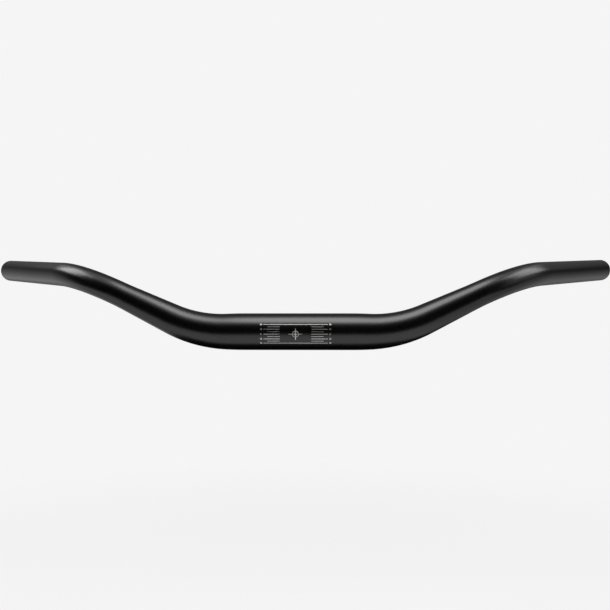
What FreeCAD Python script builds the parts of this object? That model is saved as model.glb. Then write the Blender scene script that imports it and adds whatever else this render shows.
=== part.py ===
"""Riser handlebar of a trekking bicycle, drawn and bent from one butted aluminium tube.

The origin is the centre of the stem clamp zone, on the tube's axis. +X runs along the bar to the rider's
left, +Y goes back to the rider and +Z is up. Lengths are in millimetres and angles in degrees.

The bar is described as a tube bender works: feed, bend, feed, turn the tube, bend, feed. Each ring sketch
is a cross-section of the tube whose z axis points along the tube and whose y axis points to the inside of
the next bend. The rider's left half is built from the clamp's centre outwards and then mirrored.
"""
import FreeCAD
import Part
import Sketcher
import math
import os

DIMENSIONS = {
    # stem clamp zone in the middle, with its thicker wall
    "clamp_diameter": 31.8,
    "clamp_zone": 108.0,
    "clamp_wall": 2.6,
    # straight stretch from the clamp zone to the lower bend
    "lead_in": 7.0,
    # lower bend, which lifts the riser in a plane that leans back
    "layback_angle": 21.0,
    "lower_bend_radius": 112.0,
    "lower_bend_angle": 26.0,
    "riser_length": 51.5,
    # upper bend, square to the lower one, which sweeps the grip back
    "turn_between_bends": 90.0,
    "upper_bend_radius": 112.0,
    "upper_bend_angle": 42.5,
    # straight grip end
    "grip_diameter": 22.2,
    "grip_wall": 2.0,
    "grip_length": 147.5,
    "end_chamfer": 0.5,
}

# two points closer than this are one point
SAME_POINT = 0.001

# the points of a line, arc or circle, and a sketch's own axes and origin, as constraints number them
START, END, CENTRE = range(1, 4)
X_AXIS, Y_AXIS = range(-1, -3, -1)
ORIGIN = (X_AXIS, START)

# direction square to a sketch
SQUARE = FreeCAD.Vector(0, 0, 1)

doc = FreeCAD.newDocument("handlebar_model")


def make_sheet():
    """Spreadsheet with one named cell for each driving dimension."""
    sheet = doc.addObject("Spreadsheet::Sheet", "sizes")
    for row, (alias, value) in enumerate(DIMENSIONS.items(), start=1):
        sheet.set(f"A{row}", alias)
        sheet.set(f"B{row}", str(value))
        sheet.setAlias(f"B{row}", alias)
    doc.recompute()


def feed(length):
    """Step of the route: straight along the tube."""
    return f"placement(vector(0; 0; {length}); rotation(vector(0; 0; 1); 0))"


def turn(angle):
    """Step of the route: turn the bending plane about the tube."""
    return f"placement(vector(0; 0; 0); rotation(vector(0; 0; 1); {angle}))"


def bend(radius, angle):
    """Step of the route: an arc towards the local y axis."""
    end = f"vector(0; {radius} * (1 - cos({angle})); {radius} * sin({angle}))"
    return f"placement({end}; rotation(vector(1; 0; 0); -{angle}))"


def route(*steps):
    """Place at the end of a run of steps."""
    return " * ".join(steps)


def origin_plane(body, role):
    return next(plane for plane in body.Origin.OriginFeatures if plane.Role == role)


def new_sketch(body, name, place):
    """Empty sketch on the plane across the bar's middle, moved along the route to its place."""
    sketch = body.newObject("Sketcher::SketchObject", name)
    sketch.AttachmentSupport = [(origin_plane(body, "YZ_Plane"), "")]
    sketch.MapMode = "FlatFace"
    sketch.setExpression("AttachmentOffset", place)
    return sketch


def set_size(sketch, name, size, *constraint):
    """Named constraint that is bound to a size of the sheet."""
    index = sketch.addConstraint(Sketcher.Constraint(*constraint))
    sketch.renameConstraint(index, name)
    sketch.setExpression(f"Constraints.{name}", size)


def ring(body, name, place, part):
    """Cross-section of the tube as thick as the clamp or the grip: an outer and an inner circle."""
    sketch = new_sketch(body, name, place)
    outer = DIMENSIONS[f"{part}_diameter"]
    inner = outer - 2 * DIMENSIONS[f"{part}_wall"]
    sizes = {
        "outer": (outer, f"sizes.{part}_diameter"),
        "inner": (inner, f"sizes.{part}_diameter - 2 * sizes.{part}_wall"),
    }
    for circle, (diameter, size) in sizes.items():
        index = sketch.addGeometry(Part.Circle(FreeCAD.Vector(), SQUARE, diameter / 2))
        sketch.addConstraint(Sketcher.Constraint("Coincident", index, CENTRE, *ORIGIN))
        set_size(sketch, circle, size, "Diameter", index, diameter)
    return sketch


def riser_line(body, place):
    """Centre line of the tapered stretch: a short straight, the lower bend and the straight riser."""
    along_tube = "placement(vector(0; 0; 0); rotation(vector(0; 1; 0); -90))"
    sketch = new_sketch(body, "riser_line", route(place, along_tube))
    lead_in = DIMENSIONS["lead_in"]
    radius = DIMENSIONS["lower_bend_radius"]
    riser = DIMENSIONS["riser_length"]
    angle = math.radians(DIMENSIONS["lower_bend_angle"])
    bend_start = FreeCAD.Vector(lead_in, 0, 0)
    bend_centre = FreeCAD.Vector(lead_in, radius, 0)
    bend_end = bend_centre + radius * FreeCAD.Vector(math.sin(angle), -math.cos(angle), 0)
    riser_end = bend_end + riser * FreeCAD.Vector(math.cos(angle), math.sin(angle), 0)
    circle = Part.Circle(bend_centre, SQUARE, radius)
    straight = sketch.addGeometry(Part.LineSegment(FreeCAD.Vector(), bend_start))
    arc = sketch.addGeometry(Part.ArcOfCircle(circle, -math.pi / 2, angle - math.pi / 2))
    slope = sketch.addGeometry(Part.LineSegment(bend_end, riser_end))
    sketch.addConstraint(Sketcher.Constraint("Coincident", straight, START, *ORIGIN))
    sketch.addConstraint(Sketcher.Constraint("Horizontal", straight))
    sketch.addConstraint(Sketcher.Constraint("Tangent", straight, END, arc, START))
    sketch.addConstraint(Sketcher.Constraint("Tangent", arc, END, slope, START))
    set_size(sketch, "straight_length", "sizes.lead_in", "Distance", straight, lead_in)
    set_size(sketch, "bend_radius", "sizes.lower_bend_radius", "Radius", arc, radius)
    set_size(sketch, "slope_length", "sizes.riser_length", "Distance", slope, riser)
    set_size(sketch, "slope_angle", "sizes.lower_bend_angle", "Angle", slope, angle)
    return sketch


def add_pad(body, name, profile, length):
    """Straight stretch of tube."""
    pad = body.newObject("PartDesign::Pad", name)
    pad.Profile = profile
    pad.setExpression("Length", length)
    return pad


def add_tapered_riser(body, thick_ring, thin_ring, centre_line):
    """Tube that narrows from the clamp's section to the grip's, evenly along its bent centre line."""
    pipe = body.newObject("PartDesign::AdditivePipe", "tapered_riser")
    pipe.Profile = thick_ring
    pipe.Spine = centre_line
    pipe.Transformation = "Multisection"
    pipe.Sections = [thin_ring]


def add_upper_bend(body, profile):
    """Tube turned about a line on the inside of the bend."""
    radius = DIMENSIONS["upper_bend_radius"]
    length = DIMENSIONS["grip_diameter"]
    axis_start = FreeCAD.Vector(length / 2, radius, 0)
    axis_end = FreeCAD.Vector(-length / 2, radius, 0)
    axis = profile.addGeometry(Part.LineSegment(axis_start, axis_end), True)
    profile.addConstraint(Sketcher.Constraint("Symmetric", axis, START, axis, END, Y_AXIS))
    set_size(profile, "axis_reach", "sizes.upper_bend_radius", "DistanceY", *ORIGIN, axis, START, radius)
    set_size(profile, "axis_length", "sizes.grip_diameter", "DistanceX", axis, END, axis, START, length)
    revolution = body.newObject("PartDesign::Revolution", "upper_bend")
    revolution.Profile = profile
    revolution.ReferenceAxis = (profile, ["Axis0"])
    revolution.setExpression("Angle", "sizes.upper_bend_angle")


def add_end_chamfer(body, grip, grip_start):
    """Chamfer on the outer edge of the tube's open end, so that a grip slides on."""
    doc.recompute()
    end = grip_start.Placement.multVec(FreeCAD.Vector(0, 0, grip.Length.Value))
    rims = {}
    for number, edge in enumerate(grip.Shape.Edges, start=1):
        is_circle = isinstance(edge.Curve, Part.Circle)
        if is_circle and edge.Curve.Center.distanceToPoint(end) < SAME_POINT:
            rims[edge.Curve.Radius] = f"Edge{number}"
    chamfer = body.newObject("PartDesign::Chamfer", "end_chamfer")
    chamfer.Base = (grip, [rims[max(rims)]])
    chamfer.setExpression("Size", "sizes.end_chamfer")


def add_other_half(body):
    """The rider's right half, as the mirror image of the left one."""
    doc.recompute()
    mirror = body.newObject("PartDesign::Mirrored", "both_halves")
    mirror.TransformMode = "Whole shape"
    mirror.MirrorPlane = (origin_plane(body, "YZ_Plane"), [""])
    body.Tip = mirror


def make_handlebar():
    """The whole bar as one body."""
    body = doc.addObject("PartDesign::Body", "handlebar")
    at_centre = turn("-sizes.layback_angle")
    at_clamp_end = route(at_centre, feed("sizes.clamp_zone / 2"))
    lower_bend = bend("sizes.lower_bend_radius", "sizes.lower_bend_angle")
    at_riser_end = route(at_clamp_end, feed("sizes.lead_in"), lower_bend, feed("sizes.riser_length"))
    at_upper_bend = route(at_riser_end, turn("-sizes.turn_between_bends"))
    at_grip = route(at_upper_bend, bend("sizes.upper_bend_radius", "sizes.upper_bend_angle"))

    clamp_centre = ring(body, "clamp_centre", at_centre, "clamp")
    add_pad(body, "clamp_half", clamp_centre, "sizes.clamp_zone / 2")
    taper_start = ring(body, "taper_start", at_clamp_end, "clamp")
    taper_end = ring(body, "taper_end", at_riser_end, "grip")
    add_tapered_riser(body, taper_start, taper_end, riser_line(body, at_clamp_end))
    add_upper_bend(body, ring(body, "upper_bend_start", at_upper_bend, "grip"))
    grip_start = ring(body, "grip_start", at_grip, "grip")
    grip = add_pad(body, "grip", grip_start, "sizes.grip_length")
    add_end_chamfer(body, grip, grip_start)
    add_other_half(body)
    return body


def check_model(body):
    """Stop if any object failed or the bar isn't one sound solid."""
    for item in doc.Objects:
        if "Invalid" in item.State or "Error" in item.State:
            raise RuntimeError(f"{item.Name} failed: {item.State}")
    shape = body.Shape
    if shape.isNull() or not shape.isValid() or len(shape.Solids) != 1:
        raise RuntimeError(f"{body.Label} isn't one valid solid")


make_sheet()
handlebar = make_handlebar()
doc.recompute()
check_model(handlebar)
os.makedirs("parts", exist_ok=True)
handlebar.Shape.exportStep(f"parts/{handlebar.Label}.step")
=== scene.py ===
"""Riser handlebar of a trekking bicycle: a butted aluminium tube, bent, blasted and anodised black.

Everything is in metres, in the bar's own frame: the origin is the centre of the stem clamp zone, +X runs
along the bar to the rider's left, +Y goes back to the rider and +Z is up. The tube is first drawn straight,
with its two wall thicknesses, and then bent along the bar's centre line, as the real one is.
"""

import math

import bmesh
import bpy
from mathutils import Matrix, Vector


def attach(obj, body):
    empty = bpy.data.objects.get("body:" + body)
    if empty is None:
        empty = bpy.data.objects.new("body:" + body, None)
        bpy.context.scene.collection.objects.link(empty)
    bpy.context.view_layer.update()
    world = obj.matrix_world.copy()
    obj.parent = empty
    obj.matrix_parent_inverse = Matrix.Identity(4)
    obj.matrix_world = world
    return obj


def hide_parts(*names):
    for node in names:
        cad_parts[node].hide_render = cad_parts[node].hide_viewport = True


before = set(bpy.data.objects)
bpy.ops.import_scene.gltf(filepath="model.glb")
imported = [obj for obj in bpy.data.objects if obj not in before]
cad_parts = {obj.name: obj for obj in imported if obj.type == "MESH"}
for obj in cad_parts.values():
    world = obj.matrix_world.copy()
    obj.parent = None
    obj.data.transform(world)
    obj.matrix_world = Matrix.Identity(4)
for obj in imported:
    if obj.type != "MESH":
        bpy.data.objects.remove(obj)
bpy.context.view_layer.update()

MM = 0.001

# tube: its radius, and that of its bore, in the clamp zone and in the grips
CLAMP_RADIUS = 15.9 * MM
CLAMP_BORE = 13.3 * MM
GRIP_RADIUS = 11.1 * MM
GRIP_BORE = 9.1 * MM
END_CHAMFER = 0.5 * MM

# centre line of the rider's left half, from the clamp's centre outwards
CLAMP_HALF = 54 * MM
LEAD_IN = 7 * MM
LAYBACK = math.radians(21)
LOWER_RADIUS = 112 * MM
LOWER_ANGLE = math.radians(26)
RISER = 51.5 * MM
TURN = math.radians(90)
UPPER_RADIUS = 112 * MM
UPPER_ANGLE = math.radians(42.5)
GRIP = 147.5 * MM

TAPER_START = CLAMP_HALF
TAPER_END = CLAMP_HALF + LEAD_IN + LOWER_RADIUS * LOWER_ANGLE + RISER
TUBE_HALF = TAPER_END + UPPER_RADIUS * UPPER_ANGLE + GRIP

# the drawn taper runs softly into the straight tube, over this length either way
TAPER_SOFT = 8 * MM

# fineness of the tube's mesh
LINE_STEP = 1 * MM
RING_STEP = 3 * MM
RING_SIDES = 96
SHARP_EDGE = math.radians(30)

# print on the front of the clamp zone, by which a fitter sets the bar's tilt in the stem
PRINT_OFFSET = -1.75 * MM
PRINT_ANGLE = math.radians(-5.5)

# the printed layer, whose middle is lifted off the tube so far that only its back is sunk in
PRINT_FILM = 0.04 * MM
PRINT_LIFT = PRINT_FILM / 4

# graduation: full lines at its edges, and long and short lines between them, on both sides of a gap
LINE_ANGLE = math.radians(7.5)
LINE_COUNT = 9
LINE_WIDTH = 0.4 * MM
SHORT_WIDTH = 0.3 * MM
LINE_GAP = 13.4 * MM
LONG_REACH = 27.2 * MM
SHORT_REACH = 23.8 * MM

# degrees at both ends of the long lines
NUMERALS = ("30", "15", "0", "15", "30")
NUMERAL_REACH = 29.3 * MM
NUMERAL_SIZE = 1.9 * MM
NUMERAL_WEIGHT = 0.07 * MM
NUMERAL_CURVE_STEPS = 3
NUMERAL_SAME_POINT = PRINT_FILM / 20

# crosshair in the gap
HAIR_WIDTH = 0.6 * MM
HAIR_HEIGHT = 9.8 * MM
HAIR_LENGTH = 11.5 * MM
HAIR_POINTS = 21
RING_RADIUS = 2.55 * MM
RING_POINTS = 48
DOT_RADIUS = 0.9 * MM
DOT_POINTS = 24

SOCKET_KINDS = {
    float: "NodeSocketFloat",
    int: "NodeSocketInt",
    bpy.types.Object: "NodeSocketObject",
    bpy.types.Material: "NodeSocketMaterial",
}

# sockets of a Mix node for colours, by number, because its other kinds have sockets of the same names
MIX_SHARE = 0
MIX_FIRST = 6
MIX_SECOND = 7
MIX_RESULT = 2


def colour(text):
    """Linear colour of an sRGB hex value."""
    def linear(value):
        return value / 12.92 if value <= 0.04045 else ((value + 0.055) / 1.055) ** 2.4
    return (*(linear(int(text[i:i + 2], 16) / 255) for i in (1, 3, 5)), 1.0)


def add_node(tree, kind, inputs=None, **settings):
    """New node with its settings. Each input, by name or number, gets a link from a socket, or a value."""
    node = tree.nodes.new(kind)
    for name, value in settings.items():
        setattr(node, name, value)
    for name, value in (inputs or {}).items():
        if isinstance(value, bpy.types.NodeSocket):
            tree.links.new(value, node.inputs[name])
        else:
            node.inputs[name].default_value = value
    return node


# materials

def new_material(name):
    """Empty material: its node tree and the socket for its surface."""
    material = bpy.data.materials.new(name)
    material.use_nodes = True
    tree = material.node_tree
    tree.nodes.clear()
    return material, tree, add_node(tree, "ShaderNodeOutputMaterial").inputs["Surface"]


def black_anodised_aluminium():
    """Blasted aluminium, anodised black: a satin black, with a fine grain in its soft highlights."""
    material, tree, surface = new_material("black_anodised_blasted_aluminium")
    place = add_node(tree, "ShaderNodeTexCoord").outputs["Object"]
    # the real grit leaves dimples of 0.1 mm; they are drawn 0.6 mm wide, so that they show
    dimple = 0.6 * MM
    dimples = add_node(tree, "ShaderNodeTexNoise", {"Vector": place, "Scale": 1 / dimple, "Detail": 1.0})
    bump = add_node(tree, "ShaderNodeBump", {
        "Height": dimples.outputs["Fac"], "Strength": 0.5, "Distance": 0.05 * MM})
    gloss = add_node(tree, "ShaderNodeMapRange", {
        "Value": dimples.outputs["Fac"], "From Min": 0.3, "From Max": 0.7, "To Min": 0.27, "To Max": 0.30})
    shader = add_node(tree, "ShaderNodeBsdfPrincipled", {
        "Base Color": colour("#3f3f3f"), "Metallic": 1.0,
        "Roughness": gloss.outputs["Result"], "Normal": bump.outputs["Normal"]})
    tree.links.new(shader.outputs["BSDF"], surface)
    return material


def laser_mark():
    """Anodised layer bleached by a laser: matt light grey, a little uneven where the beam passed."""
    material, tree, surface = new_material("laser_bleached_anodising")
    place = add_node(tree, "ShaderNodeTexCoord").outputs["Object"]
    # the beam's spots are 0.05 mm wide; they are drawn 0.3 mm wide, so that they show
    spot = 0.3 * MM
    spots = add_node(tree, "ShaderNodeTexNoise", {"Vector": place, "Scale": 1 / spot, "Detail": 2.0})
    tone = add_node(tree, "ShaderNodeMix", {
        MIX_SHARE: spots.outputs["Fac"], MIX_FIRST: colour("#dededb"), MIX_SECOND: colour("#efefec")},
        data_type="RGBA")
    shader = add_node(tree, "ShaderNodeBsdfPrincipled", {
        "Base Color": tone.outputs[MIX_RESULT], "Metallic": 0.85, "Roughness": 0.44})
    tree.links.new(shader.outputs["BSDF"], surface)
    return material


# geometry node trees

def start_tree(name, sizes):
    """Empty node tree with a named input for each size, and the sockets of its inputs."""
    tree = bpy.data.node_groups.new(name, "GeometryNodeTree")
    tree.interface.new_socket("Geometry", in_out="INPUT", socket_type="NodeSocketGeometry")
    for label, value in sizes.items():
        tree.interface.new_socket(label, in_out="INPUT", socket_type=SOCKET_KINDS[type(value)])
    tree.interface.new_socket("Geometry", in_out="OUTPUT", socket_type="NodeSocketGeometry")
    return tree, tree.nodes.new("NodeGroupInput").outputs


def end_tree(tree, geometry, finish):
    """Last nodes of a tree: real geometry in its material."""
    real = add_node(tree, "GeometryNodeRealizeInstances", {"Geometry": geometry})
    dressed = add_node(tree, "GeometryNodeSetMaterial", {
        "Geometry": real.outputs["Geometry"], "Material": finish})
    add_node(tree, "NodeGroupOutput", {"Geometry": dressed.outputs["Geometry"]})


def finished_mesh(thing):
    """Plain mesh of a text, or of a piece with its modifiers."""
    return bpy.data.meshes.new_from_object(thing.evaluated_get(bpy.context.evaluated_depsgraph_get()))


def run_tree(piece, tree, sizes):
    """Run a tree on a piece and keep what it makes as the piece's plain mesh."""
    modifier = piece.modifiers.new(tree.name, "NODES")
    modifier.node_group = tree
    for socket in tree.interface.items_tree:
        if socket.in_out == "INPUT" and socket.name in sizes:
            modifier[socket.identifier] = sizes[socket.name]
    first_mesh = piece.data
    piece.data = finished_mesh(piece)
    piece.modifiers.clear()
    bpy.data.meshes.remove(first_mesh)
    piece.data.name = piece.name


def new_object(name, data):
    """Object of the scene, at the origin."""
    new = bpy.data.objects.new(name, data)
    bpy.context.scene.collection.objects.link(new)
    return new


# tube

def ramp_area(share):
    """Area under a ramp that rises from 0 to 1 and then stays there."""
    return max(share, 0) ** 2 / 2 - max(share - 1, 0) ** 2 / 2


def taper(station):
    """How far the taper has come at a distance from the clamp's centre: 0 at the clamp, 1 at the grip."""
    length = TAPER_END - TAPER_START
    share = (abs(station) - TAPER_START) / length
    soft = TAPER_SOFT / length
    return (ramp_area(share + soft) - ramp_area(share - soft)) / (2 * soft)


def wall_section():
    """Closed outline of the tube's wall: places along the straight tube, and distances from its axis."""
    rim = GRIP_RADIUS - END_CHAMFER
    reach = TUBE_HALF - END_CHAMFER
    count = round(2 * reach / RING_STEP)
    stations = [reach * (2 * number / count - 1) for number in range(count + 1)]
    bore_stations = (-TUBE_HALF, *stations, TUBE_HALF)
    outside = [(x, CLAMP_RADIUS + (GRIP_RADIUS - CLAMP_RADIUS) * taper(x)) for x in stations]
    inside = [(x, CLAMP_BORE + (GRIP_BORE - CLAMP_BORE) * taper(x)) for x in bore_stations]
    return [(-TUBE_HALF, rim), *outside, (TUBE_HALF, rim), *reversed(inside)]


def straight_tube():
    """The drawn tube before it is bent, along X."""
    section = wall_section()
    corners = []
    for x, radius in section:
        for side in range(RING_SIDES):
            angle = math.tau * side / RING_SIDES
            corners.append((x, radius * math.cos(angle), radius * math.sin(angle)))
    faces = []
    for ring in range(len(section)):
        here = ring * RING_SIDES
        there = (ring + 1) % len(section) * RING_SIDES
        for side in range(RING_SIDES):
            beside = (side + 1) % RING_SIDES
            faces.append((here + side, here + beside, there + beside, there + side))
    mesh = bpy.data.meshes.new("straight_tube")
    mesh.from_pydata(corners, [], faces)
    return mesh


def move_along(length, angle):
    """Move along a stretch of tube, which bends towards the local y axis by an angle."""
    if angle == 0:
        return Matrix.Translation((0, 0, length))
    radius = length / angle
    end = Vector((0, radius * (1 - math.cos(angle)), radius * math.sin(angle)))
    return Matrix.Translation(end) @ Matrix.Rotation(-angle, 4, "X")


def half_line():
    """Points on the rider's left half of the centre line: feed, bend, feed, turn the tube, bend, feed."""
    place = Matrix(((0, 0, 1), (1, 0, 0), (0, 1, 0))).to_4x4()
    points = [place.translation]
    for turn, length, angle in (
        (-LAYBACK, CLAMP_HALF + LEAD_IN, 0),
        (0, LOWER_RADIUS * LOWER_ANGLE, LOWER_ANGLE),
        (0, RISER, 0),
        (-TURN, UPPER_RADIUS * UPPER_ANGLE, UPPER_ANGLE),
        (0, GRIP, 0),
    ):
        start = place @ Matrix.Rotation(turn, 4, "Z")
        count = round(length / LINE_STEP)
        for number in range(1, count + 1):
            place = start @ move_along(length * number / count, angle * number / count)
            points.append(place.translation)
    return points


def centre_line():
    """Curve along the whole bar, from the rider's right end to the left one."""
    left = half_line()
    right = [Vector((-point.x, point.y, point.z)) for point in left[:0:-1]]
    curve = bpy.data.curves.new("centre_line", "CURVE")
    curve.dimensions = "3D"
    curve.twist_mode = "Z_UP"
    spline = curve.splines.new("POLY")
    spline.points.add(len(left) + len(right) - 1)
    for point, place in zip(spline.points, right + left):
        point.co = (*place, 1)
    return new_object("centre_line", curve)


def bending_tree(sizes):
    """Node tree of the bending: each place of the straight tube goes to its station on the centre line."""
    tree, given = start_tree("bend_along_centre_line", sizes)
    line = add_node(tree, "GeometryNodeObjectInfo", {"Object": given["Centre Line"]})
    place = add_node(tree, "GeometryNodeInputPosition")
    parts = add_node(tree, "ShaderNodeSeparateXYZ", {"Vector": place.outputs["Position"]})
    along = add_node(tree, "ShaderNodeMath", {
        0: parts.outputs["X"], 1: given["Tube Half"]}, operation="ADD")
    station = add_node(tree, "GeometryNodeSampleCurve", {
        "Curves": line.outputs["Geometry"], "Length": along.outputs["Value"]}, mode="LENGTH")
    square = add_node(tree, "ShaderNodeVectorMath", {
        0: station.outputs["Tangent"], 1: station.outputs["Normal"]}, operation="CROSS_PRODUCT")
    across = add_node(tree, "ShaderNodeVectorMath", {
        0: station.outputs["Normal"], "Scale": parts.outputs["Y"]}, operation="SCALE")
    up = add_node(tree, "ShaderNodeVectorMath", {
        0: square.outputs["Vector"], "Scale": parts.outputs["Z"]}, operation="SCALE")
    offset = add_node(tree, "ShaderNodeVectorMath", {
        0: across.outputs["Vector"], 1: up.outputs["Vector"]}, operation="ADD")
    target = add_node(tree, "ShaderNodeVectorMath", {
        0: station.outputs["Position"], 1: offset.outputs["Vector"]}, operation="ADD")
    bent = add_node(tree, "GeometryNodeSetPosition", {
        "Geometry": given["Geometry"], "Position": target.outputs["Vector"]})
    end_tree(tree, bent.outputs["Geometry"], given["Finish"])
    return tree


def make_tube(finish):
    """The bar itself, in place of its solid."""
    tube = new_object("handlebar_tube", straight_tube())
    line = centre_line()
    sizes = {"Centre Line": line, "Tube Half": TUBE_HALF, "Finish": finish}
    run_tree(tube, bending_tree(sizes), sizes)
    bpy.data.objects.remove(line)
    tube.data.shade_smooth()
    tube.data.set_sharp_from_angle(angle=SHARP_EDGE)
    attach(tube, "root")
    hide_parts("handlebar")


# print on the clamp zone, with left and right as seen from the front

def numeral(text):
    """Small flat numeral as a closed mesh round the origin."""
    letters = bpy.data.curves.new("numeral", "FONT")
    letters.body = text
    letters.size = NUMERAL_SIZE
    letters.extrude = PRINT_FILM / 2
    letters.offset = NUMERAL_WEIGHT
    letters.resolution_u = NUMERAL_CURVE_STEPS
    letters.align_x = "CENTER"
    letters.align_y = "CENTER"
    holder = new_object("numeral", letters)
    mesh = finished_mesh(holder)
    bpy.data.objects.remove(holder)
    return mesh


def flat_numerals():
    """The numerals at both ends of the long lines, laid out flat."""
    all_numerals = bmesh.new()
    rows = len(NUMERALS)
    for row, text in enumerate(NUMERALS):
        height = (rows - 1 - 2 * row) * LINE_ANGLE * CLAMP_RADIUS
        for reach in (-NUMERAL_REACH, NUMERAL_REACH):
            mesh = numeral(text)
            mesh.transform(Matrix.Translation((reach, height, 0)))
            all_numerals.from_mesh(mesh)
            bpy.data.meshes.remove(mesh)
    bmesh.ops.remove_doubles(all_numerals, verts=all_numerals.verts, dist=NUMERAL_SAME_POINT)
    mesh = bpy.data.meshes.new("flat_numerals")
    all_numerals.to_mesh(mesh)
    all_numerals.free()
    return mesh


def graduation(tree, given):
    """Instances of the graduation lines, laid out flat: first the right side's rows, then the left's."""
    total = add_node(tree, "ShaderNodeMath", {0: given["Lines"], 1: 2.0}, operation="MULTIPLY")
    points = add_node(tree, "GeometryNodeMeshLine", {"Count": total.outputs["Value"], "Offset": (0, 0, 0)})
    index = add_node(tree, "GeometryNodeInputIndex")
    row = add_node(tree, "ShaderNodeMath", {
        0: index.outputs["Index"], 1: given["Lines"]}, operation="MODULO")
    is_left = add_node(tree, "ShaderNodeMath", {
        0: row.outputs["Value"], 1: index.outputs["Index"]}, operation="LESS_THAN")
    side = add_node(tree, "ShaderNodeMath", {
        0: is_left.outputs["Value"], 1: -2.0, 2: 1.0}, operation="MULTIPLY_ADD")
    middle = add_node(tree, "ShaderNodeMath", {
        0: given["Lines"], 1: 0.5, 2: -0.5}, operation="MULTIPLY_ADD")
    from_middle = add_node(tree, "ShaderNodeMath", {
        0: row.outputs["Value"], 1: middle.outputs["Value"]}, operation="SUBTRACT")
    distance = add_node(tree, "ShaderNodeMath", {0: from_middle.outputs["Value"]}, operation="ABSOLUTE")
    is_edge = add_node(tree, "ShaderNodeMath", {
        0: distance.outputs["Value"], 1: middle.outputs["Value"], 2: 0.1}, operation="COMPARE")
    # every second line from the middle is a short one
    is_short = add_node(tree, "ShaderNodeMath", {0: distance.outputs["Value"], 1: 2.0}, operation="MODULO")
    reach = add_node(tree, "ShaderNodeMix", {
        "Factor": is_short.outputs["Value"], "A": given["Long Reach"], "B": given["Short Reach"]})
    opposite = add_node(tree, "ShaderNodeMath", {0: reach.outputs["Result"], 1: -1.0}, operation="MULTIPLY")
    start = add_node(tree, "ShaderNodeMix", {
        "Factor": is_edge.outputs["Value"], "A": given["Line Gap"], "B": opposite.outputs["Value"]})
    length = add_node(tree, "ShaderNodeMath", {
        0: reach.outputs["Result"], 1: start.outputs["Result"]}, operation="SUBTRACT")
    centre = add_node(tree, "ShaderNodeMath", {
        0: length.outputs["Value"], 1: 0.5, 2: start.outputs["Result"]}, operation="MULTIPLY_ADD")
    across = add_node(tree, "ShaderNodeMath", {
        0: centre.outputs["Value"], 1: side.outputs["Value"]}, operation="MULTIPLY")
    up = add_node(tree, "ShaderNodeMath", {
        0: from_middle.outputs["Value"], 1: given["Line Step"]}, operation="MULTIPLY")
    place = add_node(tree, "ShaderNodeCombineXYZ", {"X": across.outputs["Value"], "Y": up.outputs["Value"]})
    spread = add_node(tree, "GeometryNodeSetPosition", {
        "Geometry": points.outputs["Mesh"], "Position": place.outputs["Vector"]})
    # a full line is one piece, so it stands on the right side only
    is_double = add_node(tree, "ShaderNodeMath", {
        0: is_edge.outputs["Value"], 1: is_left.outputs["Value"]}, operation="MULTIPLY")
    is_kept = add_node(tree, "ShaderNodeMath", {
        0: 1.0, 1: is_double.outputs["Value"]}, operation="SUBTRACT")
    width = add_node(tree, "ShaderNodeMix", {
        "Factor": is_short.outputs["Value"], "A": given["Line Width"], "B": given["Short Width"]})
    size = add_node(tree, "ShaderNodeCombineXYZ", {
        "X": length.outputs["Value"], "Y": width.outputs["Result"], "Z": given["Film"]})
    stroke = add_node(tree, "GeometryNodeMeshCube", {"Size": (1, 1, 1)})
    return add_node(tree, "GeometryNodeInstanceOnPoints", {
        "Points": spread.outputs["Geometry"], "Selection": is_kept.outputs["Value"],
        "Instance": stroke.outputs["Mesh"], "Scale": size.outputs["Vector"]}).outputs["Instances"]


def crosshair(tree, given):
    """Two hairs, a ring and a dot in one flat piece."""
    up_size = add_node(tree, "ShaderNodeCombineXYZ", {
        "X": given["Hair Width"], "Y": given["Hair Height"], "Z": given["Film"]})
    up_hair = add_node(tree, "GeometryNodeMeshCube", {
        "Size": up_size.outputs["Vector"], "Vertices Y": HAIR_POINTS})
    across_size = add_node(tree, "ShaderNodeCombineXYZ", {
        "X": given["Hair Length"], "Y": given["Line Width"], "Z": given["Film"]})
    across_hair = add_node(tree, "GeometryNodeMeshCube", {"Size": across_size.outputs["Vector"]})
    circle = add_node(tree, "GeometryNodeCurvePrimitiveCircle", {
        "Resolution": RING_POINTS, "Radius": given["Ring Radius"]})
    band = add_node(tree, "GeometryNodeCurvePrimitiveQuadrilateral", {
        "Width": given["Line Width"], "Height": given["Film"]})
    ring = add_node(tree, "GeometryNodeCurveToMesh", {
        "Curve": circle.outputs["Curve"], "Profile Curve": band.outputs["Curve"]})
    dot = add_node(tree, "GeometryNodeMeshCylinder", {
        "Vertices": DOT_POINTS, "Radius": given["Dot Radius"], "Depth": given["Film"]})
    union = add_node(tree, "GeometryNodeMeshBoolean", operation="UNION", solver="EXACT")
    for part in (up_hair, across_hair, ring, dot):
        tree.links.new(part.outputs["Mesh"], union.inputs["Mesh 2"])
    return union.outputs["Mesh"]


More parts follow.
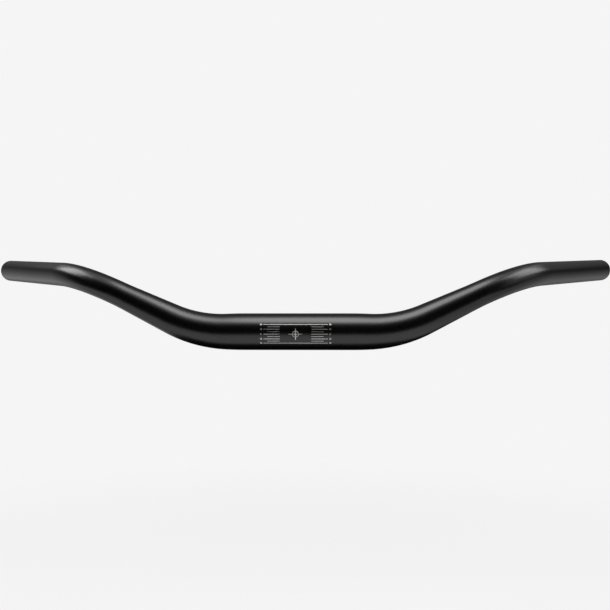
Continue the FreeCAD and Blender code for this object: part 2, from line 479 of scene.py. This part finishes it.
def print_tree(sizes):
    """Node tree of the print: its marks are laid out flat and then wrapped round the front of the tube."""
    tree, given = start_tree("print_round_clamp_zone", sizes)
    marks = add_node(tree, "GeometryNodeJoinGeometry")
    for part in (given["Geometry"], graduation(tree, given), crosshair(tree, given)):
        tree.links.new(part, marks.inputs["Geometry"])
    flat = add_node(tree, "GeometryNodeRealizeInstances", {"Geometry": marks.outputs["Geometry"]})
    place = add_node(tree, "GeometryNodeInputPosition")
    parts = add_node(tree, "ShaderNodeSeparateXYZ", {"Vector": place.outputs["Position"]})
    along = add_node(tree, "ShaderNodeMath", {0: parts.outputs["X"], 1: given["Offset"]}, operation="ADD")
    radius = add_node(tree, "ShaderNodeMath", {
        0: parts.outputs["Z"], 1: given["Tube Radius"]}, operation="ADD")
    turn = add_node(tree, "ShaderNodeMath", {
        0: parts.outputs["Y"], 1: given["Tube Radius"]}, operation="DIVIDE")
    angle = add_node(tree, "ShaderNodeMath", {
        0: turn.outputs["Value"], 1: given["Zero Angle"]}, operation="ADD")
    cosine = add_node(tree, "ShaderNodeMath", {0: angle.outputs["Value"]}, operation="COSINE")
    sine = add_node(tree, "ShaderNodeMath", {0: angle.outputs["Value"]}, operation="SINE")
    front = add_node(tree, "ShaderNodeMath", {
        0: radius.outputs["Value"], 1: cosine.outputs["Value"]}, operation="MULTIPLY")
    back = add_node(tree, "ShaderNodeMath", {0: front.outputs["Value"], 1: -1.0}, operation="MULTIPLY")
    up = add_node(tree, "ShaderNodeMath", {
        0: radius.outputs["Value"], 1: sine.outputs["Value"]}, operation="MULTIPLY")
    target = add_node(tree, "ShaderNodeCombineXYZ", {
        "X": along.outputs["Value"], "Y": back.outputs["Value"], "Z": up.outputs["Value"]})
    wrapped = add_node(tree, "GeometryNodeSetPosition", {
        "Geometry": flat.outputs["Geometry"], "Position": target.outputs["Vector"]})
    end_tree(tree, wrapped.outputs["Geometry"], given["Finish"])
    return tree


def make_print(finish):
    """Alignment scale and crosshair, as a thin layer on the front of the clamp zone."""
    scale = new_object("alignment_scale", flat_numerals())
    sizes = {
        "Tube Radius": CLAMP_RADIUS + PRINT_LIFT,
        "Zero Angle": PRINT_ANGLE,
        "Offset": PRINT_OFFSET,
        "Film": PRINT_FILM,
        "Lines": LINE_COUNT,
        "Line Step": LINE_ANGLE * CLAMP_RADIUS,
        "Line Width": LINE_WIDTH,
        "Short Width": SHORT_WIDTH,
        "Line Gap": LINE_GAP,
        "Long Reach": LONG_REACH,
        "Short Reach": SHORT_REACH,
        "Hair Width": HAIR_WIDTH,
        "Hair Height": HAIR_HEIGHT,
        "Hair Length": HAIR_LENGTH,
        "Ring Radius": RING_RADIUS,
        "Dot Radius": DOT_RADIUS,
        "Finish": finish,
    }
    run_tree(scale, print_tree(sizes), sizes)
    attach(scale, "root")


# studio, in metres round the centre of the clamp zone

BACKDROP = "#f5f5f5"
FILL = "#a0a0a0"
# BLACK is the tone of the board and the sheet that paint shade into the tube's reflections
BLACK = "#101010"

# paper on the floor: near the bar it has a share of the backdrop's tone, and further out all of it
FLOOR_DEPTH = 0.40
FLOOR_HALF = 6.0
FLOOR_PAPER = "#fafafa"
NEAR_FLOOR = 0.4
NEAR_SHARE = 0.65
FAR_FLOOR = 1.4

# the boards glow and are seen only in the tube's reflections: painted reflections and painted shade
# upright boards, bent round the bar: the direction of the middle, in degrees from the front to the rider's
# left, the spread to either side of it, the distance, and the tones by height, from the foot to the top
BOARDS = {
    "front_board": (-6, 88, 1.3, {-FLOOR_DEPTH: BLACK, 1.5: BLACK}),
    "rear_board": (180, 45, 1.3, {-FLOOR_DEPTH: "#909090", 0.35: "#6a6a6a", 3.2: "#6a6a6a"}),
    "left_board": (120, 60, 1.4, {
        -FLOOR_DEPTH: "#cacaca", 0.22: "#303030", 0.36: "#383838", 0.55: "#696969", 1.0: "#696969"}),
    "right_board": (-120, 60, 1.4, {
        -FLOOR_DEPTH: "#eeeeee", 0.30: "#5e5e5e", 0.42: "#343434", 0.55: "#6a6a6a", 0.84: "#6a6a6a"}),
    "side_board": (78, 16, 1.22, {-0.1: "#7c7c7c", 0.42: "#ededed"}),
}
BOARD_PANELS = 24

# these glow in reflections alone: the black sheet is painted shade, the grey one a painted reflection
# sheets that lie over the floor: the height above it, the tone, and the corners in the plan
SHEETS = {
    "under_cloth": (0.01, BLACK, ((-0.40, -0.08), (0.20, -0.08), (1.0, 1.3), (-0.5, 1.3))),
    "grey_sheet": (0.005, "#c4c4c4", (
        (-1.0, 0.1), (0.55, 0.1), (0.75, -0.5), (1.4, -0.5), (1.4, 0.9), (-1.0, 0.9))),
}

# a round softbox overhead and a square one beyond each end of the bar: the shape, the place, the point that
# it faces, the width, the height and the radiance
SOFTBOXES = {
    "overhead_softbox": ("ELLIPSE", (0.025, -0.215, 1.05), (0, 0, 0), 0.75, 0.74, 4.6),
    "right_softbox": ("RECTANGLE", (-0.94, 0.135, 0.73), (-0.2, 0.03, 0.05), 0.55, 0.555, 5.9),
    "left_softbox": ("RECTANGLE", (0.965, -0.02, 0.71), (0.2, 0.03, 0.05), 0.66, 0.69, 4.3),
}

# level camera in front of the bar, a little to the rider's left of its middle; untilted, it would look down
CAMERA_PLACE = (19.7 * MM, -615 * MM, 23.1 * MM)
CAMERA_TILT = math.radians(90)
CAMERA_PAN = math.radians(1.28)
LENS_MM = 41.9
SENSOR_MM = 36


def seen_rays(tree):
    """1 for rays from the camera, a mirror or glass, which see the backdrop, and 0 for the fill."""
    path = add_node(tree, "ShaderNodeLightPath")
    mirror = add_node(tree, "ShaderNodeMath", {
        0: path.outputs["Is Glossy Ray"], 1: path.outputs["Is Transmission Ray"]}, operation="MAXIMUM")
    return add_node(tree, "ShaderNodeMath", {
        0: path.outputs["Is Camera Ray"], 1: mirror.outputs["Value"]}, operation="MAXIMUM").outputs["Value"]


def make_world():
    """Pale surroundings, with a dim fill."""
    world = bpy.data.worlds.new("studio")
    world.use_nodes = True
    tree = world.node_tree
    tree.nodes.clear()
    tone = add_node(tree, "ShaderNodeMix", {
        MIX_SHARE: seen_rays(tree), MIX_FIRST: colour(FILL), MIX_SECOND: colour(BACKDROP)},
        data_type="RGBA")
    background = add_node(tree, "ShaderNodeBackground", {"Color": tone.outputs[MIX_RESULT]})
    add_node(tree, "ShaderNodeOutputWorld", {"Surface": background.outputs["Background"]})
    bpy.context.scene.world = world


def studio_material(name):
    """Empty material for the studio, whose glow isn't taken for a lamp."""
    material, tree, surface = new_material(name)
    material.cycles.emission_sampling = "NONE"
    return material, tree, surface


def floor_paper():
    """Pale matt paper, which keeps the shadow near the bar and runs into the backdrop further out."""
    material, tree, surface = studio_material("pale_floor_paper")
    place = add_node(tree, "ShaderNodeTexCoord").outputs["Object"]
    distance = add_node(tree, "ShaderNodeVectorMath", {0: place}, operation="LENGTH")
    lit = add_node(tree, "ShaderNodeBsdfDiffuse", {"Color": colour(FLOOR_PAPER)})
    glow = add_node(tree, "ShaderNodeEmission", {"Color": colour(BACKDROP), "Strength": seen_rays(tree)})
    share = add_node(tree, "ShaderNodeMapRange", {
        "Value": distance.outputs["Value"], "From Min": NEAR_FLOOR, "From Max": FAR_FLOOR,
        "To Min": NEAR_SHARE, "To Max": 1.0}, interpolation_type="SMOOTHSTEP")
    mix = add_node(tree, "ShaderNodeMixShader", {
        0: share.outputs["Result"], 1: lit.outputs["BSDF"], 2: glow.outputs["Emission"]})
    tree.links.new(mix.outputs["Shader"], surface)
    return material


def glowing_reflection_sheet(name, tone):
    """Glowing sheet of one even tone: a painted reflection, black where it paints shade."""
    material, tree, surface = studio_material(name)
    glow = add_node(tree, "ShaderNodeEmission", {"Color": colour(tone)})
    tree.links.new(glow.outputs["Emission"], surface)
    return material


def graded_reflection_glow(name, tones):
    """Glowing card for painted reflections: its tone changes with the height, from each given height to the
    next.
    """
    material, tree, surface = studio_material(name)
    low, high = min(tones), max(tones)
    place = add_node(tree, "ShaderNodeTexCoord").outputs["Object"]
    height = add_node(tree, "ShaderNodeSeparateXYZ", {"Vector": place}).outputs["Z"]
    share = add_node(tree, "ShaderNodeMapRange", {"Value": height, "From Min": low, "From Max": high})
    ramp = add_node(tree, "ShaderNodeValToRGB", {"Fac": share.outputs["Result"]})
    stops = ramp.color_ramp.elements
    stops.remove(stops[0])
    for level, tone in tones.items():
        position = (level - low) / (high - low)
        stop = stops[0] if level == low else stops.new(position)
        stop.position = position
        stop.color = colour(tone)
    glow = add_node(tree, "ShaderNodeEmission", {"Color": ramp.outputs["Color"]})
    tree.links.new(glow.outputs["Emission"], surface)
    return material


def flat_sheet(name, finish, height, corners):
    """Flat sheet at a height above the floor."""
    mesh = bpy.data.meshes.new(name)
    mesh.from_pydata([(x, y, height - FLOOR_DEPTH) for x, y in corners], [], [range(len(corners))])
    mesh.materials.append(finish)
    return new_object(name, mesh)


def curved_board(name, finish, middle, spread, distance, low, high):
    """Upright board, bent round the bar at a distance, to either side of a direction in the plan."""
    corners = []
    for number in range(BOARD_PANELS + 1):
        angle = math.radians(middle + spread * (2 * number / BOARD_PANELS - 1))
        x, y = distance * math.sin(angle), -distance * math.cos(angle)
        corners += [(x, y, low), (x, y, high)]
    faces = [(2 * n, 2 * n + 2, 2 * n + 3, 2 * n + 1) for n in range(BOARD_PANELS)]
    mesh = bpy.data.meshes.new(name)
    mesh.from_pydata(corners, [], faces)
    mesh.materials.append(finish)
    return new_object(name, mesh)


def make_floor():
    """Large pale floor well below the bar, which is held in the air at its clamp zone."""
    corners = [(x * FLOOR_HALF, y * FLOOR_HALF) for x, y in ((-1, -1), (1, -1), (1, 1), (-1, 1))]
    flat_sheet("floor", floor_paper(), 0, corners)


def make_boards():
    """Glowing boards and sheets, seen in the tube's reflections alone: its painted black and grey bands."""
    boards = []
    for name, (middle, spread, distance, tones) in BOARDS.items():
        finish = graded_reflection_glow(name, tones)
        boards.append(curved_board(name, finish, middle, spread, distance, min(tones), max(tones)))
    for name, (height, tone, corners) in SHEETS.items():
        boards.append(flat_sheet(name, glowing_reflection_sheet(name, tone), height, corners))
    for board in boards:
        board.visible_camera = False
        board.visible_diffuse = False
        board.visible_shadow = False


def make_lamp(name, shape, place, aim, width, height, radiance):
    """Softbox that faces a point. At a radiance of 1 it would look just white."""
    light = bpy.data.lights.new(name, "AREA")
    light.shape = shape
    light.size = width
    light.size_y = height
    area = width * height * (math.pi / 4 if shape == "ELLIPSE" else 1)
    light.energy = math.pi * area * radiance
    lamp = new_object(name, light)
    lamp.location = place
    lamp.rotation_euler = (Vector(aim) - Vector(place)).to_track_quat("-Z", "Y").to_euler()


def make_camera():
    """Camera of the main view."""
    camera = bpy.data.cameras.new("camera")
    camera.sensor_width = SENSOR_MM
    camera.lens = LENS_MM
    holder = new_object("camera", camera)
    holder.location = CAMERA_PLACE
    holder.rotation_euler = (CAMERA_TILT, 0, CAMERA_PAN)
    bpy.context.scene.camera = holder


bpy.context.scene.view_settings.view_transform = "Standard"
make_tube(black_anodised_aluminium())
make_print(laser_mark())
make_world()
make_floor()
make_boards()
for lamp_name, softbox in SOFTBOXES.items():
    make_lamp(lamp_name, *softbox)
make_camera()
